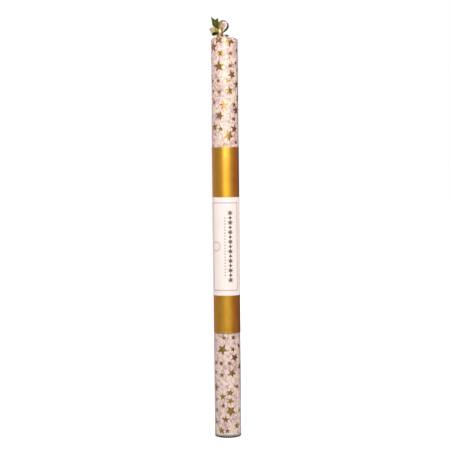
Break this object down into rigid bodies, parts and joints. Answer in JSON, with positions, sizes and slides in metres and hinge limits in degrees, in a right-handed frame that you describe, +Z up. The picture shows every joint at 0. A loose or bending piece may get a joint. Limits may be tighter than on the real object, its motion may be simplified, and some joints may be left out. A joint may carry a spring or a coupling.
{
  "type": "gift tube of sparklers",
  "caption": "Slim clear gift tube of hand sparklers: a star-printed paper roll tied with a ribbon bow draws out of the open top and frees the sparklers; gold band and plain label outside.",
  "frame": {"origin": "the middle of the base cap's underside, on the surface that the tube stands on", "axes": "+Z up along the tube to the bow, -Y towards the front of the label"},
  "size_m": [0.0266, 0.0266, 0.4057],
  "materials": {
    "clear_plastic": "clear, smooth and glossy",
    "gold_foil": "satin gold metallic foil on paper",
    "label_paper": "smooth pale pink paper with a thin printed frame",
    "star_paper": "pale mottled handmade paper printed with gold foil stars",
    "gold_ribbon": "woven metallic gold ribbon",
    "steel_wire": "drawn steel wire",
    "sparkler_coating": "matt grey dipped coating with fine metal grains"
  },
  "bodies": {
    "tube": {"clear_tube": "clear_plastic", "base_cap": "clear_plastic", "gold_band": "gold_foil", "label": "label_paper"},
    "bundle": {"star_paper": "star_paper", "ribbon_tie": "gold_ribbon", "bow_knot": "gold_ribbon", "bow_loop_right": "gold_ribbon", "bow_loop_left": "gold_ribbon", "bow_tail_upper": "gold_ribbon", "bow_tail_lower": "gold_ribbon"},
    "sparkler_01": {"sparkler_wire_01": "steel_wire", "sparkler_coating_01": "sparkler_coating"},
    "sparkler_02": {"sparkler_wire_02": "steel_wire", "sparkler_coating_02": "sparkler_coating"},
    "sparkler_03": {"sparkler_wire_03": "steel_wire", "sparkler_coating_03": "sparkler_coating"},
    "sparkler_04": {"sparkler_wire_04": "steel_wire", "sparkler_coating_04": "sparkler_coating"},
    "sparkler_05": {"sparkler_wire_05": "steel_wire", "sparkler_coating_05": "sparkler_coating"},
    "sparkler_06": {"sparkler_wire_06": "steel_wire", "sparkler_coating_06": "sparkler_coating"},
    "sparkler_07": {"sparkler_wire_07": "steel_wire", "sparkler_coating_07": "sparkler_coating"},
    "sparkler_08": {"sparkler_wire_08": "steel_wire", "sparkler_coating_08": "sparkler_coating"},
    "sparkler_09": {"sparkler_wire_09": "steel_wire", "sparkler_coating_09": "sparkler_coating"},
    "sparkler_10": {"sparkler_wire_10": "steel_wire", "sparkler_coating_10": "sparkler_coating"},
    "sparkler_11": {"sparkler_wire_11": "steel_wire", "sparkler_coating_11": "sparkler_coating"},
    "sparkler_12": {"sparkler_wire_12": "steel_wire", "sparkler_coating_12": "sparkler_coating"}
  },
  "joints": [
    {"name": "bundle_draw", "type": "slide", "parent": "tube", "child": "bundle", "axis": [0, 0, 1], "range_m": [0, 0.45]},
    {"name": "sparkler_01_draw", "type": "slide", "parent": "tube", "child": "sparkler_01", "axis": [0, 0, 1], "range_m": [0, 0.4185]},
    {"name": "sparkler_02_draw", "type": "slide", "parent": "tube", "child": "sparkler_02", "axis": [0, 0, 1], "range_m": [0, 0.396]},
    {"name": "sparkler_03_draw", "type": "slide", "parent": "tube", "child": "sparkler_03", "axis": [0, 0, 1], "range_m": [0, 0.4275]},
    {"name": "sparkler_04_draw", "type": "slide", "parent": "tube", "child": "sparkler_04", "axis": [0, 0, 1], "range_m": [0, 0.4095]},
    {"name": "sparkler_05_draw", "type": "slide", "parent": "tube", "child": "sparkler_05", "axis": [0, 0, 1], "range_m": [0, 0.387]},
    {"name": "sparkler_06_draw", "type": "slide", "parent": "tube", "child": "sparkler_06", "axis": [0, 0, 1], "range_m": [0, 0.423]},
    {"name": "sparkler_07_draw", "type": "slide", "parent": "tube", "child": "sparkler_07", "axis": [0, 0, 1], "range_m": [0, 0.4005]},
    {"name": "sparkler_08_draw", "type": "slide", "parent": "tube", "child": "sparkler_08", "axis": [0, 0, 1], "range_m": [0, 0.432]},
    {"name": "sparkler_09_draw", "type": "slide", "parent": "tube", "child": "sparkler_09", "axis": [0, 0, 1], "range_m": [0, 0.3915]},
    {"name": "sparkler_10_draw", "type": "slide", "parent": "tube", "child": "sparkler_10", "axis": [0, 0, 1], "range_m": [0, 0.414]},
    {"name": "sparkler_11_draw", "type": "slide", "parent": "tube", "child": "sparkler_11", "axis": [0, 0, 1], "range_m": [0, 0.405]},
    {"name": "sparkler_12_draw", "type": "slide", "parent": "tube", "child": "sparkler_12", "axis": [0, 0, 1], "range_m": [0, 0.3825]}
  ],
  "couplings": [
    {"joint": "sparkler_01_draw", "follows": "bundle_draw", "ratio": 0.93},
    {"joint": "sparkler_02_draw", "follows": "bundle_draw", "ratio": 0.88},
    {"joint": "sparkler_03_draw", "follows": "bundle_draw", "ratio": 0.95},
    {"joint": "sparkler_04_draw", "follows": "bundle_draw", "ratio": 0.91},
    {"joint": "sparkler_05_draw", "follows": "bundle_draw", "ratio": 0.86},
    {"joint": "sparkler_06_draw", "follows": "bundle_draw", "ratio": 0.94},
    {"joint": "sparkler_07_draw", "follows": "bundle_draw", "ratio": 0.89},
    {"joint": "sparkler_08_draw", "follows": "bundle_draw", "ratio": 0.96},
    {"joint": "sparkler_09_draw", "follows": "bundle_draw", "ratio": 0.87},
    {"joint": "sparkler_10_draw", "follows": "bundle_draw", "ratio": 0.92},
    {"joint": "sparkler_11_draw", "follows": "bundle_draw", "ratio": 0.9},
    {"joint": "sparkler_12_draw", "follows": "bundle_draw", "ratio": 0.85}
  ]
}
